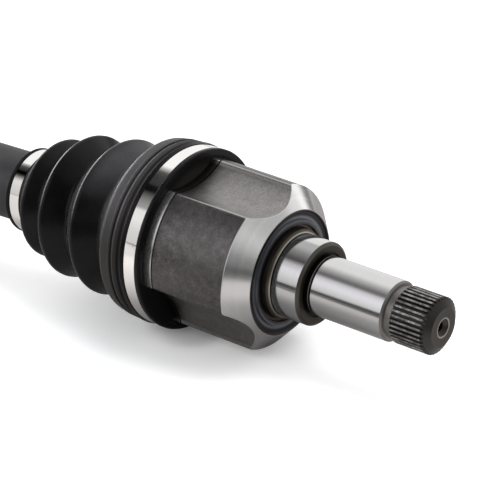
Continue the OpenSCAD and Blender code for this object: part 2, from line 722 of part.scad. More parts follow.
module window_outline() {
    wide = ball_r + window_side;
    tall = ball_r + end_fit;
    corner = 3;
    square([2 * tall, 2 * (wide - corner)], center = true);
    square([2 * (tall - corner), 2 * wide], center = true);
    for (x = [-1, 1], y = [-1, 1]) translate([x * (tall - corner), y * (wide - corner)])
        circle(r = corner, $fn = 32);
}

module ball_cage() color(cage_black) at_outboard() difference() {
    intersection() {
        joint_sphere(cage_out_r);
        bar(-cage_w / 2, cage_w / 2, cage_out_r + past);
    }
    joint_sphere(cage_in_r);
    for (k = [0:5]) rotate([(k + 0.5) * ball_angle, 0, 0]) translate([0, 0, cage_in_r - cage_t])
        linear_extrude(3 * cage_t) window_outline();
}

module bell_body() {
    r = bell_r;
    seat = bell_seat_r;
    face_r = hub_face_d / 2;
    back = -outboard_joint_x;
    dome_from = back + 6;
    dome_r = r - face_r - 1;
    turned(concat(
        [[back, 0], [back, face_r - 0.8], [back + 0.8, face_r], [back + 4, face_r], [back + 4.6, face_r + 1]],
        [for (a = [0:10:90]) [dome_from + dome_r * (1 - cos(a)), face_r + 1 + dome_r * sin(a)]],
        [[-bell_step - 0.8, r], [-bell_step, r - 0.8], [-bell_step, seat], [bell_mouth - 1, seat],
         [bell_mouth, seat - 1], [bell_mouth, 0]]
    ));
}

module hub_stub() {
    spline_r = hub_spline_d / 2;
    thread_r = thread_d / 2;
    thread_root = thread_r - 0.61 * thread_pitch;
    relief_r = spline_r - spline_depth - 0.4;
    pilot_r = pilot_d / 2;
    dog_r = thread_r - 1.6;
    mirror([1, 0, 0]) {
        turned([
            [-past, 0], [-past, pilot_r], [pilot_l - 0.6, pilot_r], [pilot_l, pilot_r - 0.8],
            [pilot_l + 0.2, relief_r], [hub_spline_to + 0.4, relief_r], [hub_spline_to + 1, thread_root],
            [thread_from, thread_root], [thread_from, 0]
        ]);
        intersection() {
            prism(hub_spline_from - past, hub_spline_to + past) spline_outline(spline_r, hub_teeth);
            spline_ramps(spline_r, [hub_spline_from, relief_r, 1], [hub_spline_to, spline_r - 1.4, 1.4]);
        }
        turned(concat(
            [[thread_from - past, 0], [thread_from - past, thread_root]],
            [for (k = [0:thread_turns - 1], c = [[0, thread_root], [0.45, thread_r], [0.55, thread_r]])
                [thread_from + (k + c.x) * thread_pitch, c.y]],
            [[thread_to, thread_root], [thread_to + 0.3, dog_r], [hub_stub_l - 0.8, dog_r],
             [hub_stub_l, dog_r - 1], [hub_stub_l, 0]]
        ));
    }
}

module outboard_bell() color(forged) difference() {
    union() {
        translate([outboard_joint_x, 0, 0]) bell_body();
        hub_stub();
    }
    at_outboard() {
        joint_sphere(bell_bore_r);
        ball_tracks(2 * bell_mouth, track_tail);
    }
    translate([outboard_joint_x, 0, 0]) turned([
        [mouth_cone_x, 0], [mouth_cone_x, bell_bore_r - 1.1], [bell_mouth, bell_seat_r - bell_lip],
        [bell_mouth + past, bell_seat_r - bell_lip], [bell_mouth + past, 0]
    ]);
    mirror([1, 0, 0]) centre_drilling(hub_stub_l);
}

shaft_tube();
tripod_spider();
spider_circlip();
inner_race();
race_circlip();
inboard_small_clamp();
outboard_small_clamp();
ball_cage();
joint_balls();
outboard_bell();
outboard_boot();
outboard_large_clamp();
inner_ring(1);  // inner_ring_1
inner_ring(2);  // inner_ring_2
inner_ring(3);  // inner_ring_3
needle_set(1);  // needles_1
needle_set(2);  // needles_2
needle_set(3);  // needles_3
roller(1);  // roller_1
roller(2);  // roller_2
roller(3);  // roller_3
roller_washers(1);  // washers_1
roller_washers(2);  // washers_2
roller_washers(3);  // washers_3
tulip_housing();
tulip_stop_ring();
boot_bush();
inboard_boot();
inboard_large_clamp();
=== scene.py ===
"""Looks of the half-shaft: paint, ground and forged steel, rubber boots and stainless clamps."""
import math

import bpy
from mathutils import Matrix, Vector


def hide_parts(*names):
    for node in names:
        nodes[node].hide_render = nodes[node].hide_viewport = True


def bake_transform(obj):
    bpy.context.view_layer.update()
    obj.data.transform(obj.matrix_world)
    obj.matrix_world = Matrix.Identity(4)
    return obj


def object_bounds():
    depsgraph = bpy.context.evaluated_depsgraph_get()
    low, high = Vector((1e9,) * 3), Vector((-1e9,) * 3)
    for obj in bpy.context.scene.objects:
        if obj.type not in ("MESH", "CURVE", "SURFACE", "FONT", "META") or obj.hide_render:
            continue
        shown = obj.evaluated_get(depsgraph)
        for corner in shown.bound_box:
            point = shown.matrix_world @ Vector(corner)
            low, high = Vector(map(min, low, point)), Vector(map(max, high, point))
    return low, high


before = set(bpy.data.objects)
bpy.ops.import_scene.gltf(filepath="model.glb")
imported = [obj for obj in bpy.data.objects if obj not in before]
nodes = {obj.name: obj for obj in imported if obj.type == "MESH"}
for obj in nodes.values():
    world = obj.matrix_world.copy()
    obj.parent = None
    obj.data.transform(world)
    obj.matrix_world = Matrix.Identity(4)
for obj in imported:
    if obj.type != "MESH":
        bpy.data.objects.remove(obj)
cad_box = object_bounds()
scene = bpy.context.scene

MM = 0.001
X, Y, Z = (1, 0, 0), (0, 1, 0), (0, 0, 1)
INBOARD_X = 462 * MM
OUTBOARD_X = 50 * MM
# The inboard joint is turned about the shaft, and its tulip droops about a line above the shaft's axis
JOINT_ROLL = math.radians(10.5)
REST_DROOP = math.radians(2.7)
HINGE_UP = 12 * MM
# From the joint's centre to the tulip's datum plane
ROLLER_SET = 2.1 * MM


def on_joint_line(t, droop):
    """The point t mm past the datum plane on the inboard joint's line, drooped about the hinge."""
    x = t * MM + ROLLER_SET
    along = x * math.cos(droop) - HINGE_UP * math.sin(droop)
    up = HINGE_UP * (1 - math.cos(droop)) - x * math.sin(droop)
    return Vector((INBOARD_X + along, -up * math.sin(JOINT_ROLL), up * math.cos(JOINT_ROLL)))


# The tulip's own line: its point in the datum plane, and its direction towards the stub
TULIP_ORIGIN = tuple(on_joint_line(0, REST_DROOP))
TULIP_AXIS = (math.cos(REST_DROOP), math.sin(REST_DROOP) * math.sin(JOINT_ROLL),
              -math.sin(REST_DROOP) * math.cos(JOINT_ROLL))
# Sideways and up, as the joint's lobes are turned
JOINT_SIDE = (0, math.cos(JOINT_ROLL), math.sin(JOINT_ROLL))
JOINT_UP = (REST_DROOP, -math.sin(JOINT_ROLL), math.cos(JOINT_ROLL))


# Shader maths

class Value:
    """A shader socket that can be used in sums, so that masks read as plain maths."""

    def __init__(self, tree, socket):
        self.tree = tree
        self.socket = socket

    def _math(self, operation, *others, clamp=False):
        node = self.tree.nodes.new("ShaderNodeMath")
        node.operation = operation
        node.use_clamp = clamp
        for place, other in enumerate((self, *others)):
            if isinstance(other, Value):
                self.tree.links.new(other.socket, node.inputs[place])
            else:
                node.inputs[place].default_value = other
        return Value(self.tree, node.outputs[0])

    def __add__(self, other):
        return self._math("ADD", other)

    __radd__ = __add__

    def __mul__(self, other):
        return self._math("MULTIPLY", other)

    __rmul__ = __mul__

    def __sub__(self, other):
        return self._math("SUBTRACT", other)

    def __rsub__(self, other):
        return self * -1 + other

    def __truediv__(self, other):
        return self._math("DIVIDE", other)

    def __abs__(self):
        return self._math("ABSOLUTE")

    def clamped(self):
        return self._math("ADD", 0.0, clamp=True)

    def root(self):
        return self._math("SQRT")

    def most(self, other):
        return self._math("MAXIMUM", other)

    def turn(self, other):
        return self._math("ARCTAN2", other)

    def towards(self, target, share):
        return self + (target - self) * share


class Shader:
    """A material's or world's node tree, with one way to add a node."""

    def __init__(self, owner):
        owner.use_nodes = True
        self.tree = owner.node_tree
        self.tree.nodes.clear()

    def node(self, kind, settings=None, values=None):
        node = self.tree.nodes.new(kind)
        for name, value in (settings or {}).items():
            if name == "stops":
                ramp = node.color_ramp
                while len(ramp.elements) < len(value):
                    ramp.elements.new(0.5)
                for element, (position, shade) in zip(ramp.elements, value):
                    element.position = position
                    element.color = (*shade, 1) if hasattr(shade, "__len__") else (shade, shade, shade, 1)
            else:
                setattr(node, name, value)
        for name, value in (values or {}).items():
            socket = node.inputs[name]
            if isinstance(value, Value):
                self.tree.links.new(value.socket, socket)
            elif hasattr(value, "__len__") and socket.type == "RGBA" and len(value) == 3:
                socket.default_value = (*value, 1)
            else:
                socket.default_value = value
        return node

    def out(self, node, name=0):
        return Value(self.tree, node.outputs[name])

    def position(self):
        return self.out(self.node("ShaderNodeTexCoord"), "Object")

    def _vector_math(self, operation, *vectors, out="Vector"):
        values = dict(enumerate(vectors))
        return self.out(self.node("ShaderNodeVectorMath", {"operation": operation}, values), out)

    def dot(self, vector, direction):
        return self._vector_math("DOT_PRODUCT", vector, direction, out="Value")

    def less(self, vector, offset):
        return self._vector_math("SUBTRACT", vector, offset)

    def length(self, vector):
        return self._vector_math("LENGTH", vector, out="Value")

    def joined(self, x, y, z):
        return self.out(self.node("ShaderNodeCombineXYZ", None, {0: x, 1: y, 2: z}), "Vector")

    def noise(self, vector, scale, detail, rough=0.5):
        return self.out(self.node("ShaderNodeTexNoise", None, {
            "Vector": vector, "Scale": scale, "Detail": detail, "Roughness": rough}), "Fac")

    def ramp(self, factor, *stops):
        return self.out(self.node("ShaderNodeValToRGB", {"stops": stops}, {"Fac": factor}), "Color")

    def level(self, factor, low, high, low_value=0.0, high_value=1.0, smooth=True):
        """From one value at low to another at high. A low above high gives a fall instead of a rise."""
        kind = "SMOOTHSTEP" if smooth else "LINEAR"
        return self.out(self.node("ShaderNodeMapRange", {"interpolation_type": kind}, {
            "Value": factor, "From Min": low, "From Max": high,
            "To Min": low_value, "To Max": high_value}), "Result")

    def band(self, factor, start, full, until, end):
        """Rises from start to full, and falls from until to end."""
        return self.level(factor, start, full) * self.level(factor, end, until)

    def share(self, r, inner, outer):
        """How much of the way a radius is from inner to outer."""
        return self.level(r, inner, outer, smooth=False)

    def blended(self, factor, first, second):
        node = self.node("ShaderNodeMix", {"data_type": "RGBA"}, {"Factor": factor})
        for place, value in ((6, first), (7, second)):
            if isinstance(value, Value):
                self.tree.links.new(value.socket, node.inputs[place])
            else:
                node.inputs[place].default_value = (*value, 1)
        return Value(self.tree, node.outputs[2])

    def bump(self, height, distance, strength):
        return self.out(self.node("ShaderNodeBump", None, {
            "Height": height, "Distance": distance, "Strength": strength}), "Normal")

    def surface(self, **values):
        names = {"color": "Base Color", "rough": "Roughness", "metal": "Metallic", "normal": "Normal",
                 "specular": "Specular IOR Level", "sheen": "Sheen Weight", "sheen_rough": "Sheen Roughness"}
        shader = self.node("ShaderNodeBsdfPrincipled", None, {names[k]: v for k, v in values.items()})
        self.node("ShaderNodeOutputMaterial", None, {"Surface": self.out(shader)})


# Camera, light and floor

CAMERA_PLACE = (1.2526, -0.9743, 0.5310)
CAMERA_AZIMUTH, CAMERA_ELEVATION = math.radians(38.4), math.radians(23.0)
# A long lens, in mm, as for a catalogue picture
LENS, SENSOR = 216, 36
NEAR, FAR = 0.05, 50


def place_camera():
    turn = (math.pi / 2 - CAMERA_ELEVATION, 0, CAMERA_AZIMUTH)
    bpy.ops.object.camera_add(location=CAMERA_PLACE, rotation=turn)
    camera = bpy.context.object
    camera.name = "view"
    camera.data.lens = LENS
    camera.data.sensor_width = SENSOR
    camera.data.clip_start = NEAR
    camera.data.clip_end = FAR
    scene.camera = camera


def add_softbox(name, place, target, size, power):
    bpy.ops.object.light_add(type="AREA", location=place)
    lamp = bpy.context.object
    lamp.name = name
    lamp.rotation_euler = (Vector(target) - Vector(place)).to_track_quat("-Z", "Y").to_euler()
    lamp.data.shape = "RECTANGLE"
    lamp.data.size, lamp.data.size_y = size
    lamp.data.energy = power
    lamp.visible_glossy = False


def band_stops(*rows):
    """Ramp stops from angles about X, in degrees from +Y towards +Z, with -180 to 180 over the ramp."""
    return [((angle + 180) / 360, shade) for angle, shade in rows]


# What bright metal mirrors, as angles about X: towards the stub, and towards the boot, where a dark gap
# shows. Below the horizon the floor is met first
STUB_BANDS = band_stops(
    (-180, 0.12), (-172, 0.12), (-150, 0.4), (-20, 0.92), (68, 0.95), (79, 0.78), (87, 0.58), (95, 0.42),
    (103, 0.26), (111, 0.13), (118, 0.20), (126, (0.67, 0.655, 0.70)),
    (134, (0.89, 0.875, 0.93)), (146, (1.0, 0.99, 1.05)), (158, (0.93, 0.92, 0.97)), (168, 0.82),
    (175, 0.68), (177, 0.12), (180, 0.03),
)
BOOT_BANDS = band_stops(
    (-180, 0.62), (-20, 0.97), (74, 1.0), (79, 0.45), (84, 0.07), (92, 0.025), (103, 0.03), (106, 0.0),
    (113, 0.0), (116, 0.05), (126, 0.22), (135, 0.34), (139, 0.80), (150, 0.84), (165, 0.68), (180, 0.62),
)
# Mirrored at the shaft's end of the boot, where the gap lies further down
NECK_BANDS = band_stops(
    (-180, 0.62), (-20, 0.97), (86, 0.97), (91, 0.40), (98, 0.08), (108, 0.03), (114, 0.0), (120, 0.0),
    (125, 0.04), (131, 0.24), (138, 0.62), (144, 0.76), (158, 0.70), (180, 0.60),
)
# What the stub's end mirrors, by height above the horizon
END_BANDS = (
    (0.0, 0.20), (0.12, 0.24), (0.19, 0.29), (0.24, 0.42), (0.30, 0.52), (0.42, 0.68), (0.48, 0.72),
    (0.57, 0.54), (0.64, 0.50), (1.0, 0.7),
)
# The direction of the dark room round the camera, and how much of a direction has to point there
TO_CAMERA = (0.57, -0.72, 0.39)
ROOM_EDGE, ROOM_FULL = 0.78, 0.93
BRIGHT_CARD, BLACK = (1.35, 1.35, 1.34), (0.0, 0.0, 0.0)
ROOM_DARK, STRIP_LAMP = (0.03, 0.03, 0.03), (7.5, 7.5, 7.8)
STUDIO_WALLS, BACKDROP = (0.66, 0.665, 0.675), (1.0, 1.0, 1.0)


def light_world():
    """A white studio: bright metal mirrors its soft boxes and the dark gaps between them, along X."""
    world = bpy.data.worlds.new("studio")
    scene.world = world
    s = Shader(world)
    direction = s.out(s.node("ShaderNodeTexCoord"), "Generated")
    x, y, z = (s.dot(direction, axis) for axis in (X, Y, Z))
    angle = z.turn(y) / (2 * math.pi) + 0.5
    bands = s.blended(s.level(x, -0.49, -0.54), s.ramp(angle, *STUB_BANDS), s.ramp(angle, *BOOT_BANDS))
    bands = s.blended(s.level(x, -0.59, -0.62), bands, s.ramp(angle, *NECK_BANDS))
    # Low behind the shaft stand a bright card and, to its left, a black gap
    behind = s.level(z, 0.38, 0.24) * s.level(y, 0.4, 0.7)
    bands = s.blended(behind * s.band(x, 0.10, 0.14, 0.29, 0.34), bands, BRIGHT_CARD)
    bands = s.blended(behind * s.band(x, -0.45, -0.3, 0.06, 0.12) * 0.85, bands, BLACK)
    bands = s.blended(s.level(x, 0.35, 0.6), bands, s.ramp(z, *END_BANDS))
    room = s.level(s.dot(direction, TO_CAMERA), ROOM_EDGE, ROOM_FULL) * s.level(x, 0.80, 0.72)
    bands = s.blended(room, bands, ROOM_DARK)
    # A strip lamp behind the shaft draws the light line along the far side of each fold
    strip = s.level(x, -0.80, -0.86) * s.band(z, -0.05, 0.0, 0.40, 0.55)
    bands = s.blended(strip, bands, STRIP_LAMP)
    path = s.node("ShaderNodeLightPath")
    color = s.blended(s.out(path, "Is Glossy Ray"), STUDIO_WALLS, bands)
    color = s.blended(s.out(path, "Is Camera Ray"), color, BACKDROP)
    background = s.node("ShaderNodeBackground", None, {"Color": color, "Strength": 1.0})
    s.node("ShaderNodeOutputWorld", None, {"Surface": s.out(background)})


FLOOR_SIZE = 14
# Where the boot's large end and the tulip rest on the floor
REST_X, REST_Y = 0.452, -0.008
PAPER = (0.83, 0.83, 0.835), (0.845, 0.845, 0.85)
# The mirrored table is this much warmer than grey
TABLE_WARMTH = (1.02, 0.985, 0.97)


def mirrored_table(s, x, y):
    """What metal mirrors of the floor: mid grey, lighter towards the boot, darker under the joint as a
    painted shadow, and dark past its front edge.
    """
    table = s.level(x, 0.37, 0.45, 0.74, 0.46) * s.level(x, 0.30, 0.36, 0.80, 1.0)
    # A painted shadow in the mirrored floor under the joint
    joint_shadow = s.band(y, -0.10, -0.035, 0.01, 0.05) * s.level(x, 0.42, 0.46)
    table = table * (1 - joint_shadow * 0.38)
    table = table.towards(s.level(x, 0.33, 0.40, 0.8, 0.3), s.level(y, 0.09, 0.16))
    table = table.towards(0.56, s.level(x, 0.53, 0.57))
    beside_boot = s.level(x - y * 0.7, 0.475, 0.50)
    past_edge = (s.level(y, -0.13, -0.20) * beside_boot).most(s.level(x, 0.67, 0.71))
    far_past = s.level(y, -0.24, -0.36) * beside_boot
    return table * (1 - past_edge * 0.80) * (1 - far_past * 0.7)


def lay_floor(height):
    bpy.ops.mesh.primitive_plane_add(size=FLOOR_SIZE, location=(0, 0, height))
    floor = bpy.context.object
    floor.name = "floor"
    material, s = new_material("floor_paper")
    path = s.node("ShaderNodeLightPath")
    p = s.position()
    x, y = s.dot(p, X), s.dot(p, Y)
    table = mirrored_table(s, x, y)
    mirrored = s.joined(*(table * tint for tint in TABLE_WARMTH))
    seen = s.blended(s.noise(p, 900, 2), *PAPER)
    paper = s.node("ShaderNodeBsdfDiffuse", None, {
        "Color": s.blended(s.out(path, "Is Glossy Ray"), seen, mirrored)})
    # The backdrop's own light is weakest where the joint rests, so that the shadow gathers there
    along = (x - REST_X).most((x - REST_X) * -0.75)
    apart = s.length(s.joined(along, y - REST_Y, 0.0))
    glow = 0.07 + s.level(apart, 0.008, 0.020) * 0.15 + s.level(apart, 0.025, 0.070) * 0.20
    lift = s.node("ShaderNodeEmission", None, {
        "Color": s.joined(glow, glow, glow), "Strength": s.out(path, "Is Camera Ray")})
    total = s.node("ShaderNodeAddShader", None, {0: s.out(paper), 1: s.out(lift)})
    s.node("ShaderNodeOutputMaterial", None, {"Surface": s.out(total)})
    floor.data.materials.append(material)


# Materials

def new_material(name):
    material = bpy.data.materials.new(name)
    return material, Shader(material)


# Darker and lighter shade of each finish, and its roughness where it is an even one
PAINT = (0.011, 0.011, 0.0115), (0.022, 0.022, 0.023)
RUBBER = (0.0026, 0.0025, 0.0028), (0.0060, 0.0058, 0.0063)
# Dust on the boots, whose lighter shade, used towards the top, is a painted sheen
DUST_AND_SHEEN = (0.024, 0.0225, 0.021), (0.050, 0.047, 0.048)
# A painted sheen on top of the inboard shoulder
TOP_SHEEN_SHADE = (0.052, 0.050, 0.053)
# The bush's black rubber, and its greyer shade on top, which is painted light
BUSH, PAINTED_LIT_BUSH = (0.004, 0.0038, 0.0037), (0.030, 0.026, 0.0245)
BAND_STEEL = (0.91, 0.895, 0.87), (0.97, 0.96, 0.935)
BEARING_STEEL = (0.55, 0.55, 0.56), (0.68, 0.68, 0.69), 0.14
SPRING_STEEL = (0.16, 0.16, 0.165), (0.27, 0.27, 0.275), 0.30
SPIDER_STEEL = (0.34, 0.335, 0.33), (0.47, 0.465, 0.46), 0.26
CAGE_STEEL = (0.10, 0.10, 0.105), (0.16, 0.16, 0.165), 0.34
TULIP_FORGED = (0.052, 0.049, 0.048), (0.116, 0.108, 0.107), (0.235, 0.223, 0.219)
TULIP_TURNED = (0.64, 0.635, 0.63), (0.86, 0.855, 0.85)
TULIP_GROUND = (0.62, 0.615, 0.61), (0.80, 0.795, 0.79)
# The second of these shades is a painted shadow under the boot's lip
CLOUDED_SKIN, LIP_SHADOW = (0.122, 0.114, 0.112), (0.004, 0.004, 0.004)
# The second of these shades is for worn ridges that carry a painted highlight
BRUSHED_VALLEY, WORN_AND_LIT_RIDGE = (0.50, 0.48, 0.465), (0.56, 0.54, 0.52)
# The first of these shades is a painted highlight along the cone's edge, the second painted shade in the
# groove
PAINTED_CONE_HIGHLIGHT, PAINTED_GROOVE_SHADE = (0.88, 0.87, 0.85), (0.008, 0.008, 0.008)
# The first of these shades is a painted highlight on the undercut's rim
PAINTED_RIM_HIGHLIGHT, TOOTH_DIRT = (0.50, 0.48, 0.45), (0.05, 0.047, 0.044)
RUN_OUT, LEAD_IN = (0.26, 0.245, 0.23), (0.066, 0.062, 0.058)
BELL_FORGED = (0.055, 0.052, 0.051), (0.122, 0.114, 0.113), (0.245, 0.233, 0.229)
BELL_TURNED = (0.50, 0.495, 0.485), (0.72, 0.71, 0.70)

# Where the boots carry dust with a painted sheen, are dull, or carry a painted sheen on top, in mm along X:
# from none to full, and from full to none
INBOARD_DUST_AND_SHEEN, OUTBOARD_DUST_AND_SHEEN = (424, 427, 439, 441), (57, 59, 67, 70)
SHOULDER_TOP_SHEEN, DULL_CUFF = (402, 410, 430, 436), (200, 210, 365, 369)
DUST_AND_SHEEN_FROM_R, DUST_AND_SHEEN_R = 40.6, 41.4


def shaft_paint():
    material, s = new_material("shaft_paint")
    p = s.position()
    fine = s.noise(p, 1500, 4, 0.6)
    cloud = s.noise(p, 60, 4, 0.6)
    s.surface(color=s.blended(s.level(cloud, 0.3, 0.7), *PAINT), rough=0.42 + 0.14 * fine, metal=0.0,
              specular=0.30, normal=s.bump(fine * 0.7 + cloud * 0.3, 0.00006, 0.55))
    return material


def boot_rubber():
    """Satin rubber, with a band of dust between the last fold and each large clamp, lighter towards its top
    as a painted sheen, and a painted sheen on top of the inboard shoulder.
    """
    material, s = new_material("boot_rubber")
    p = s.position()
    x, y, z = (s.dot(p, axis) * 1000 for axis in (X, Y, Z))
    radius = s.length(s.joined(y, z, 0.0))
    fine = s.noise(p, 2600, 3, 0.6)
    cloud = s.noise(p, 45, 5, 0.65)
    color = s.blended(s.level(cloud, 0.35, 0.75), *RUBBER)
    # A band of dust whose lighter top is a painted sheen
    by_clamps = (s.band(x, *INBOARD_DUST_AND_SHEEN) + s.band(x, *OUTBOARD_DUST_AND_SHEEN)).clamped()
    dust_and_sheen = s.level(radius, DUST_AND_SHEEN_FROM_R, DUST_AND_SHEEN_R) * by_clamps
    color = s.blended(dust_and_sheen * (0.55 + 0.45 * cloud), color, s.blended(s.level(z, 5, 40), *DUST_AND_SHEEN))
    # A painted sheen on top of the inboard shoulder
    top_sheen = s.level(z, 18, 32) * s.band(x, *SHOULDER_TOP_SHEEN)
    color = s.blended(top_sheen * (0.4 + 0.6 * cloud), color, TOP_SHEEN_SHADE)
    # The inboard cuff is dull, and so catches no light line
    cuff = s.band(x, *DULL_CUFF)
    s.surface(color=color, rough=0.21 + 0.13 * cloud + (dust_and_sheen * 0.2).most(cuff * 0.4), metal=0.0,
              specular=0.17, sheen=0.12, sheen_rough=0.25,
              normal=s.bump(fine * 0.6 + cloud * 0.4, 0.00004, 0.35))
    return material


def from_tulip_line(s, p):
    """A point from the tulip's datum, and how far it lies along the tulip's line and from it, in mm."""
    from_datum = s.less(p, TULIP_ORIGIN)
    t = s.dot(from_datum, TULIP_AXIS) * 1000
    r = (s.dot(from_datum, from_datum) * 1e6 - t * t).most(0.0).root()
    return from_datum, t, r


def bush_rubber():
    """The bush in the valleys, black under the boot's lip, and greyer on top where it meets the upper steel,
    which is painted light.
    """
    material, s = new_material("bush_rubber")
    p = s.position()
    r = from_tulip_line(s, p)[2]
    fine = s.noise(p, 1800, 3, 0.6)
    # Painted light: greyer on top and nearer the axis
    bush_painted_light = s.level(r, 39.5, 33.5) * s.level(s.dot(p, Z) * 1000, -10, 10)
    s.surface(color=s.blended(bush_painted_light * (0.6 + 0.4 * fine), BUSH, PAINTED_LIT_BUSH), rough=0.5 + 0.2 * fine,
              metal=0.0, specular=0.2, normal=s.bump(fine, 0.00005, 0.4))
    return material


def band_steel():
    """Stainless strip of the clamps, rolled bright, with hair-fine marks round it."""
    material, s = new_material("band_steel")
    p = s.position()
    across = s.noise(p, 40, 3)
    rolled = s.noise(s.joined(s.dot(p, X) * 60000, 0.0, 0.0), 1.0, 2)
    s.surface(color=s.blended(across, *BAND_STEEL), metal=1.0, rough=0.025 + 0.03 * across,
              normal=s.bump(rolled, 0.00001, 0.2))
    return material


def plain_steel(name, low, high, rough):
    material, s = new_material(name)
    p = s.position()
    fine = s.noise(p, 1200, 3)
    cloud = s.noise(p, 80, 4)
    s.surface(color=s.blended(cloud, low, high), metal=1.0, rough=rough + 0.12 * fine,
              normal=s.bump(fine, 0.00002, 0.3))
    return material


def forged_skin(s, p, shades):
    """Fine grain, mottling and colour of a forged skin, from its dark, middle and light shade."""
    grain = s.noise(p, 1400, 5, 0.65)
    mottle = s.noise(p, 260, 5, 0.7)
    skin = s.ramp(mottle * 0.55 + grain * 0.45, *zip((0.30, 0.50, 0.70), shades))
    return grain, mottle, skin


def turning_marks(s, along):
    return s.noise(s.joined(along * 9.0, 0.0, 0.0), 1.0, 4, 0.7)


# Stretches and places along the tulip's line, in mm from the datum plane
LAND, GROOVE = (-37.0, -9.6), (-9.6, -8.7)
CONE, CONE_EDGE, RECESS = (29.6, 39.7), (29.0, 39.7), (38.3, 43.9)
SEAL_JOURNAL, SHOULDER, UNDERCUT_RIM, JOURNAL = (43.9, 56.8), (56.85, 61.0), (59.4, 60.0), (61.0, 98.2)
NOSE_T, JOURNAL_END_T, STUB_SPLINE_T, LEAD_IN_T, END_FACE_T = 38.3, 98.35, 102.8, 119.2, 122.5
# Radii that tell the turned and ground faces from what lies further in
LAND_R, GROOVE_R, CONE_INNER_R, SEAL_JOURNAL_R, JOURNAL_R = 38.25, 38.7, 29.45, (19.2, 19.35), (13.7, 13.85)
# The cone is this wide at its rim, and narrows by this much for each mm towards the stub
CONE_RIM_T, CONE_RIM_R, CONE_SLOPE = 30.9, 38.8, 9.2 / 8.7

# Shades by share of the way from the inner to the outer radius, with each range's radii in mm.
# The recess has rings in grey-blue and black, and a brown heat tint near its inner edge
RECESS_R = (19.0, 30.0)
RECESS_SHADES = (
    (0.045, (0.03, 0.026, 0.022)), (0.055, (0.50, 0.47, 0.40)), (0.085, (0.42, 0.39, 0.33)),
    (0.115, (0.10, 0.085, 0.065)), (0.18, (0.07, 0.058, 0.045)), (0.20, (0.06, 0.053, 0.049)),
    (0.40, (0.075, 0.068, 0.066)), (0.50, (0.17, 0.18, 0.20)), (0.63, (0.20, 0.21, 0.235)),
    (0.72, (0.03, 0.03, 0.035)), (0.90, (0.05, 0.045, 0.045)), (0.98, (0.30, 0.27, 0.25)),
)
SHOULDER_R = (13.9, 19.5)
SHOULDER_SHADES = (
    (0.0, (0.015, 0.013, 0.012)), (0.20, (0.012, 0.010, 0.009)), (0.30, (0.050, 0.042, 0.034)),
    (0.70, (0.065, 0.056, 0.046)), (0.78, (0.115, 0.107, 0.092)),
)
STUB_TEETH_R = (12.2, 13.3)
STUB_TEETH_SHADES = ((0.0, (0.03, 0.028, 0.027)), (0.72, (0.09, 0.085, 0.08)), (0.92, (0.44, 0.42, 0.40)))
END_FACE_R = (0.0, 10.0)
END_FACE_SHADES = (
    (0.0, (0.02, 0.02, 0.02)), (0.38, (0.03, 0.03, 0.03)), (0.40, (0.45, 0.42, 0.38)),
    (0.46, (0.40, 0.37, 0.33)), (0.49, (0.075, 0.067, 0.060)), (1.0, (0.085, 0.076, 0.068)),
)


def tulip_zones(s, t, r):
    """Masks of the tulip's finishes, told apart by their place along its line and away from it."""
    soft = 0.05

    def past(value, place):
        return s.level(value, place - soft, place + soft)

    def along(start, end):
        return s.band(t, start - soft, start + soft, end - soft, end + soft)

    from_cone = abs(r - (CONE_RIM_R - (t - CONE_RIM_T) * CONE_SLOPE))
    cone = along(*CONE) * s.level(from_cone, 0.16, 0.08) * past(r, CONE_INNER_R)
    off_nose = s.level(r, CONE_INNER_R + soft, CONE_INNER_R + 0.35)
    # A painted highlight along the cone's edge
    cone_highlight = along(*CONE_EDGE) * s.level(from_cone, 0.45, 0.14) * off_nose * (1 - cone)
    nose = s.level(t, NOSE_T - 0.1, NOSE_T + 0.1) * s.level(r, CONE_INNER_R + soft, CONE_INNER_R)
    return {
        "cone": cone,
        "cone_highlight": cone_highlight,
        "land": along(*LAND) * past(r, LAND_R),
        "groove": along(*GROOVE) * s.level(r, GROOVE_R + soft, GROOVE_R - soft),
        "nose": nose,
        "recess": along(*RECESS) * nose,
        "seal_journal": along(*SEAL_JOURNAL) * s.level(r, *SEAL_JOURNAL_R),
        "journal": along(*JOURNAL) * s.level(r, *JOURNAL_R),
        "shoulder": along(*SHOULDER),
        "undercut_rim": along(*UNDERCUT_RIM),
        "splines": past(t, JOURNAL_END_T),
        "end_face": past(t, END_FACE_T),
    }


def skin_wear_and_painted_light(s, p, from_datum, t, r, grain, mottle, skin):
    """The tulip's forged skin with its lighter brushed valleys, bright worn ridges with a painted highlight,
    and a painted shadow under the boot's lip near the boot.
    """
    cloud = s.noise(p, 35, 3, 0.5)
    skin = s.blended(s.level(cloud, 0.35, 0.65) * 0.35, skin, CLOUDED_SKIN)
    across = (s.dot(from_datum, (0, 1600, 0)), s.dot(from_datum, (0, 0, 1600)))
    brushed = s.noise(s.joined(t * 0.9, *across), 1.0, 3)
    valley = s.level(r, 37.2, 36.0) * s.level(t, -13.0, 5.0)
    streaks = 0.15 + 0.30 * brushed + 0.22 * s.level(grain, 0.3, 0.7) + 0.11 * s.level(mottle, 0.3, 0.7)
    skin = s.blended(valley * streaks, skin, BRUSHED_VALLEY)
    # Worn ridges, brightened further by a painted highlight
    ridge = s.band(r, 36.2, 37.6, 38.5, 38.72) * s.level(t, -12.0, -8.0)
    skin = s.blended(ridge * 0.7, skin, WORN_AND_LIT_RIDGE)
    # A painted shadow under the boot's lip, in the valleys near the boot
    lip_shadow = s.level(t, -5.0, -12.5) * s.level(r, 37.8, 36.4)
    return s.blended(lip_shadow * 0.76, skin, LIP_SHADOW), ridge


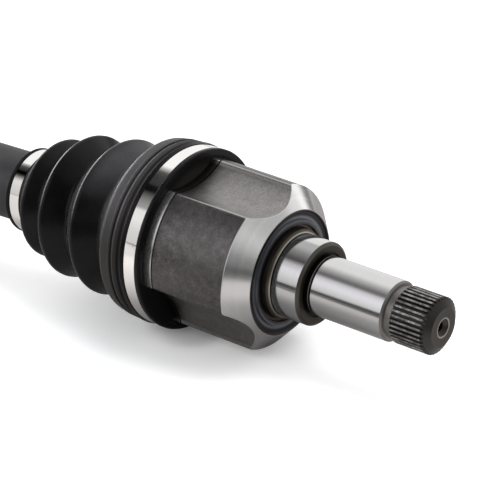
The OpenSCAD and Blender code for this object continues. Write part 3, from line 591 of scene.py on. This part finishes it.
def ground_steel(s, marks, soft_marks, angle, seal_journal):
    """The ground journals, with hair-fine marks round them and a painted dark reflection along the larger
    one's top.
    """
    color = s.blended(marks * 0.6 + soft_marks * 0.4, *TULIP_GROUND)
    # A painted dark reflection along the larger journal's top
    painted_dark_reflection = seal_journal * s.band(angle * (180 / math.pi), 83.0, 90.0, 121.5, 123.5)
    return s.blended(painted_dark_reflection * 0.42, color, BLACK)


def stub_splines(s, grain, mottle, t, r):
    """Dark spline valleys with brighter tips, between the plain run-out and the lead-in."""
    color = s.ramp(s.share(r, *STUB_TEETH_R) + (grain - 0.5) * 0.25, *STUB_TEETH_SHADES)
    color = s.blended(s.level(mottle, 0.62, 0.38) * 0.75, color, TOOTH_DIRT)
    color = s.blended(s.level(t, STUB_SPLINE_T - 0.1, STUB_SPLINE_T), RUN_OUT, color)
    return s.blended(s.level(t, LEAD_IN_T - 0.2, LEAD_IN_T + 0.2), color, LEAD_IN)


def tulip_steel():
    """Forged body, turned cone and land, ground journals, and dark splines, each told apart by its place."""
    material, s = new_material("tulip_steel")
    p = s.position()
    from_datum, t, r = from_tulip_line(s, p)
    angle = s.dot(from_datum, JOINT_UP).turn(s.dot(from_datum, JOINT_SIDE))
    zones = tulip_zones(s, t, r)
    grain, mottle, skin = forged_skin(s, p, TULIP_FORGED)
    skin, ridge = skin_wear_and_painted_light(s, p, from_datum, t, r, grain, mottle, skin)
    rings = turning_marks(s, t + r)
    marks = s.noise(s.joined(t * 26.0, 0.0, 0.0), 1.0, 4, 0.75)
    soft_marks = s.noise(s.joined(t * 1.3, angle * 0.8, 0.0), 1.0, 2)

    turned = (zones["cone"] + zones["land"]).clamped()
    ground = (zones["seal_journal"] + zones["journal"]).clamped()
    # Painted highlight along the cone's edge
    color = s.blended(zones["cone_highlight"] * 0.8, skin, PAINTED_CONE_HIGHLIGHT)
    color = s.blended(turned, color, s.blended(rings, *TULIP_TURNED))
    # Painted shade in the groove
    color = s.blended(zones["groove"], color, PAINTED_GROOVE_SHADE)
    color = s.blended(zones["recess"], color, s.ramp(s.share(r, *RECESS_R), *RECESS_SHADES))
    color = s.blended(ground, color, ground_steel(s, marks, soft_marks, angle, zones["seal_journal"]))
    color = s.blended(zones["shoulder"], color, s.ramp(s.share(r, *SHOULDER_R), *SHOULDER_SHADES))
    # Painted highlight on the undercut's rim
    color = s.blended(zones["undercut_rim"] * 0.8, color, PAINTED_RIM_HIGHLIGHT)
    color = s.blended(zones["splines"], color, stub_splines(s, grain, mottle, t, r))
    color = s.blended(zones["end_face"], color, s.ramp(s.share(r, *END_FACE_R), *END_FACE_SHADES))

    rough = 0.38 + 0.16 * (grain - 0.5) - ridge * 0.12
    rough = rough.towards(0.13 + rings * 0.10, turned)
    rough = rough.towards(0.045 + marks * 0.055, ground)
    rough = rough.towards(0.42, (zones["splines"] + zones["shoulder"]).clamped())
    forged = 1 - (zones["cone"] + zones["land"] + zones["groove"] + zones["nose"]).clamped()
    height = forged * (grain + mottle) * 0.45 + (zones["cone"] + zones["land"]) * rings * 0.30
    height = height + ground * marks * 0.05
    s.surface(color=color, metal=0.95, rough=rough, normal=s.bump(height, 0.00006, 0.8))
    return material


# Along X and away from it, in mm: the bell's stub, the ground seat at its mouth, and its splines
BELL_STUB_X, BELL_SEAT_X, BELL_SPLINES = (5.3, 5.0), (42.0, 42.3), (-52.4, -52.2, -8.4, -8.2)
BELL_TEETH_R = (12.9, 13.9)
BELL_TEETH_SHADES = ((0.0, (0.05, 0.047, 0.045)), (0.8, (0.42, 0.41, 0.39)))


def bell_steel():
    """The outboard bell: forged outside, ground at its mouth, with bright machined stub and splines."""
    material, s = new_material("bell_steel")
    p = s.position()
    x, y, z = (s.dot(p, axis) * 1000 for axis in (X, Y, Z))
    r = (y * y + z * z).root()
    grain, mottle, skin = forged_skin(s, p, BELL_FORGED)
    rings = turning_marks(s, x + r)
    machined = (s.level(x, *BELL_STUB_X) + s.level(x, *BELL_SEAT_X)).clamped()
    color = s.blended(machined, skin, s.blended(rings, *BELL_TURNED))
    teeth = s.ramp(s.share(r, *BELL_TEETH_R), *BELL_TEETH_SHADES)
    color = s.blended(s.band(x, *BELL_SPLINES), color, teeth)
    rough = (0.47 + 0.16 * (grain - 0.5)).towards(0.30 + rings * 0.08, machined)
    height = (1 - machined) * (grain + mottle) * 0.45 + machined * rings * 0.3
    s.surface(color=color, metal=0.95, rough=rough, normal=s.bump(height, 0.00006, 0.8))
    return material


# Boots

BOOT_SIDES = 144
# Where the inboard boot bends from the tulip's line over to the shaft's, in mm back from the datum plane
BEND_FROM, BEND_TO = 40, 60
# Faces that meet more sharply than this keep their edge
SMOOTH_ANGLE = math.radians(34)
# A corner's arc starts no further along than this share of the way to the next corner
LONGEST_REACH = 0.48


def rounded(corners, steps=5):
    """The outline through [along, radius, rounding] corners, each rounded by an arc of its rounding."""
    outline = []
    for i, (along, radius, rounding) in enumerate(corners):
        here = Vector((along, radius))
        if rounding == 0 or i in (0, len(corners) - 1):
            outline.append((along, radius))
            continue
        before = Vector(corners[i - 1][:2]) - here
        after = Vector(corners[i + 1][:2]) - here
        half = before.angle(after) / 2
        reach = min(rounding / math.tan(half), LONGEST_REACH * before.length, LONGEST_REACH * after.length)
        arc_radius = reach * math.tan(half)
        inwards = (before.normalized() + after.normalized()).normalized()
        middle = here + inwards * (arc_radius / math.sin(half))
        start = here + before.normalized() * reach - middle
        sweep = (here + after.normalized() * reach - middle).angle_signed(start)
        for k in range(steps + 1):
            spoke = start.copy()
            spoke.rotate(Matrix.Rotation(sweep * k / steps, 2))
            outline.append(tuple(middle + spoke))
    return outline


def inboard_place(t):
    """Middle of the inboard boot's ring at t mm on the tulip's line, and its droop."""
    share = min(1.0, max(0.0, (BEND_TO + t) / (BEND_TO - BEND_FROM)))
    droop = REST_DROOP * share * share * (3 - 2 * share)
    return on_joint_line(t, droop), droop


def outboard_place(x):
    """Middle of the outboard boot's ring at x mm from the ball circle, which never droops."""
    return Vector((OUTBOARD_X + x * MM, 0, 0)), 0.0


def turned_rings(name, outline, place):
    """A closed rubber shell: a circle extruded ring by ring along its outline, and bridged to its start."""
    middle, droop = place(outline[0][0])
    turn = Matrix.Rotation(JOINT_ROLL, 4, "X") @ Matrix.Rotation(math.pi / 2 + droop, 4, "Y")
    bpy.ops.object.select_all(action="DESELECT")
    bpy.ops.mesh.primitive_circle_add(vertices=BOOT_SIDES, radius=outline[0][1] * MM, location=middle,
                                      rotation=turn.to_euler())
    piece = bpy.context.object
    piece.name = name
    bpy.ops.object.transform_apply()
    bpy.ops.object.mode_set(mode="EDIT")
    bpy.ops.mesh.select_all(action="SELECT")
    for (last, last_r), (here, here_r) in zip(outline, outline[1:]):
        last_middle, last_droop = place(last)
        middle, droop = place(here)
        bpy.ops.mesh.extrude_edges_move(TRANSFORM_OT_translate={"value": middle - last_middle})
        for axis, share in (("Y", math.cos(JOINT_ROLL)), ("Z", math.sin(JOINT_ROLL))):
            if droop != last_droop:
                bpy.ops.transform.rotate(value=(last_droop - droop) * share, orient_axis=axis,
                                         center_override=middle)
        if here_r != last_r:
            bpy.ops.transform.resize(value=(here_r / last_r,) * 3, center_override=middle)
    bpy.ops.mesh.select_all(action="DESELECT")
    bpy.ops.mesh.select_non_manifold()
    bpy.ops.mesh.bridge_edge_loops()
    bpy.ops.mesh.select_all(action="SELECT")
    bpy.ops.mesh.normals_make_consistent(inside=False)
    bpy.ops.object.mode_set(mode="OBJECT")
    bpy.ops.object.shade_smooth_by_angle(angle=SMOOTH_ANGLE)
    return piece


# Outlines of the boots as [along, radius, rounding] in mm, outside and inside. Each boot is cut in two
# on the flank of a fold
INBOARD_CUT, INBOARD_CUT_IN = (-63.5, 33.55, 0), (-62.6, 31.6, 0)
INBOARD_SHOULDER = [
    (-13.1, 40.1, 0), (-13.1, 42.5, 0.3), (-13.8, 43.0, 0.3), (-15.4, 43.0, 0.2), (-15.65, 42.4, 0.1),
    (-15.65, 41.9, 0), (-21.95, 41.9, 0), (-21.95, 43.0, 0.15), (-22.8, 43.15, 0.3), (-24.0, 43.5, 0.35),
    (-24.6, 41.3, 0.3), (-26.4, 41.2, 0.3), (-26.9, 42.5, 0.5), (-28.3, 43.1, 0.8), (-29.6, 42.5, 0.3),
    (-29.9, 41.9, 0.05), (-30.3, 41.9, 0.05), (-30.5, 42.85, 0.2), (-31.7, 42.85, 0.3), (-32.1, 42.45, 0.2),
    (-36.6, 42.1, 3.5), (-47.0, 30.0, 2.0), (-59.2, 37.8, 2.3), INBOARD_CUT,
]
INBOARD_SHOULDER_IN = [
    INBOARD_CUT_IN, (-59.3, 34.6, 1.0), (-47.0, 27.6, 2.5), (-40.0, 37.9, 0), (-37.8, 40.1, 0),
    (-13.1, 40.1, 0),
]
INBOARD_NECK = [
    INBOARD_CUT, (-70.3, 26.9, 2.0), (-80.9, 35.1, 2.3), (-89.6, 23.6, 2.0), (-97.3, 29.5, 2.2),
    (-103.4, 20.7, 1.5), (-105.8, 20.3, 0.3), (-106.2, 19.9, 0.1), (-106.2, 19.3, 0), (-112.3, 19.3, 0),
    (-112.3, 20.3, 0.2), (-114.1, 20.5, 0.4), (-114.7, 19.8, 0.2), (-114.7, 16.95, 0),
]
INBOARD_NECK_IN = [
    (-114.7, 16.95, 0), (-102.4, 16.95, 0.5), (-97.3, 26.2, 1.0), (-89.6, 21.2, 2.0), (-80.9, 31.9, 1.0),
    (-70.3, 24.5, 2.5), INBOARD_CUT_IN,
]
OUTBOARD_CUT, OUTBOARD_CUT_IN = (32.0, 34.6, 0), (31.2, 32.5, 0)
OUTBOARD_SHOULDER = [
    (-6.8, 40.6, 0), (-6.8, 42.9, 0.3), (-6.1, 43.3, 0.3), (-0.8, 43.3, 0.2), (-0.4, 42.9, 0.1),
    (-0.4, 42.43, 0), (6.0, 42.43, 0), (6.0, 43.4, 0.15), (8.0, 43.7, 0.5), (8.6, 41.9, 0.3),
    (10.4, 41.8, 0.3), (10.9, 42.9, 0.5), (12.3, 43.4, 0.7), (14.0, 43.0, 0.5), (18.8, 42.6, 3.0),
    (28.5, 31.0, 2.0), OUTBOARD_CUT,
]
OUTBOARD_SHOULDER_IN = [
    OUTBOARD_CUT_IN, (28.5, 28.6, 2.5), (19.0, 39.2, 1.0), (14.2, 40.6, 0.3), (-6.8, 40.6, 0),
]
OUTBOARD_NECK = [
    OUTBOARD_CUT, (37.5, 40.4, 2.2), (46.0, 28.6, 2.0), (54.0, 36.8, 2.2), (61.5, 24.8, 2.0),
    (68.0, 32.6, 2.0), (74.5, 22.1, 1.8), (80.5, 28.2, 1.8), (87.7, 20.7, 1.5), (90.1, 20.3, 0.3),
    (90.5, 19.9, 0.1), (90.5, 19.3, 0), (96.6, 19.3, 0), (96.6, 20.3, 0.2), (98.4, 20.5, 0.4),
    (99.0, 19.8, 0.2), (99.0, 16.95, 0),
]
OUTBOARD_NECK_IN = [
    (99.0, 16.95, 0), (86.7, 16.95, 0.5), (80.5, 24.9, 1.0), (74.5, 19.7, 2.0), (68.0, 29.3, 1.0),
    (61.5, 22.4, 2.0), (54.0, 33.5, 1.0), (46.0, 26.2, 2.0), (37.5, 37.2, 1.0), OUTBOARD_CUT_IN,
]
# The stretch of each half's outline that lies between its first body and its second
INBOARD_SHOULDER_BEND, INBOARD_NECK_BEND = (-40, -62), (-64.5, -92)
OUTBOARD_SHOULDER_BEND, OUTBOARD_NECK_BEND = (14.5, 30.5), (33, 78)


def boot_half(name, outside, inside, place, bend):
    """One half of a boot, a shell turned along its outline; the given bend stretch is not used."""
    outline = rounded(outside) + rounded(inside)[1 if outside[-1] == inside[0] else 0:]
    if outline[-1] == outline[0]:
        outline.pop()
    piece = turned_rings(name, outline, place)
    start, end = bend
    place(start)[0]
    place(end)[0]
    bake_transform(piece)
    return piece


def make_boots(rubber):
    halves = (
        boot_half("inboard_boot_shoulder", INBOARD_SHOULDER, INBOARD_SHOULDER_IN, inboard_place,
                  INBOARD_SHOULDER_BEND),
        boot_half("inboard_boot_neck", INBOARD_NECK, INBOARD_NECK_IN, inboard_place,
                  INBOARD_NECK_BEND),
        boot_half("outboard_boot_shoulder", OUTBOARD_SHOULDER, OUTBOARD_SHOULDER_IN, outboard_place,
                  OUTBOARD_SHOULDER_BEND),
        boot_half("outboard_boot_neck", OUTBOARD_NECK, OUTBOARD_NECK_IN, outboard_place,
                  OUTBOARD_NECK_BEND),
    )
    for piece in halves:
        piece.data.materials.append(rubber)
        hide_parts("inboard_boot" if piece.name.startswith("inboard") else "outboard_boot")


def dress_cad_nodes(rubber):
    bearing = plain_steel("bearing_steel", *BEARING_STEEL)
    spring = plain_steel("spring_steel", *SPRING_STEEL)
    spider = plain_steel("spider_steel", *SPIDER_STEEL)
    cage = plain_steel("cage_steel", *CAGE_STEEL)
    band = band_steel()
    wear = {
        "shaft_tube": shaft_paint(), "tulip_housing": tulip_steel(), "outboard_bell": bell_steel(),
        "boot_bush": bush_rubber(), "inboard_boot": rubber, "outboard_boot": rubber,
        "inboard_small_clamp": band, "outboard_small_clamp": band,
        "inboard_large_clamp": band, "outboard_large_clamp": band,
        "tripod_spider": spider, "spider_circlip": spring, "race_circlip": spring, "tulip_stop_ring": spring,
        "inner_race": bearing, "ball_cage": cage, "joint_balls": bearing,
    }
    for i in (1, 2, 3):
        wear.update({f"inner_ring_{i}": bearing, f"needles_{i}": bearing, f"roller_{i}": bearing,
                     f"washers_{i}": spring})
    for name, material in wear.items():
        node = nodes[name]
        node.data.materials.clear()
        node.data.materials.append(material)


place_camera()
light_world()
add_softbox("front_box", place=(0.1, -1.6, 1.1), target=(0.45, 0, 0), size=(1.4, 0.9), power=14)
add_softbox("top_box", place=(0.6, 0.5, 1.9), target=(0.4, 0, 0), size=(1.6, 1.2), power=22)
lay_floor(cad_box[0][2])
boot_material = boot_rubber()
make_boots(boot_material)
dress_cad_nodes(boot_material)

scene.view_settings.view_transform = "Standard"
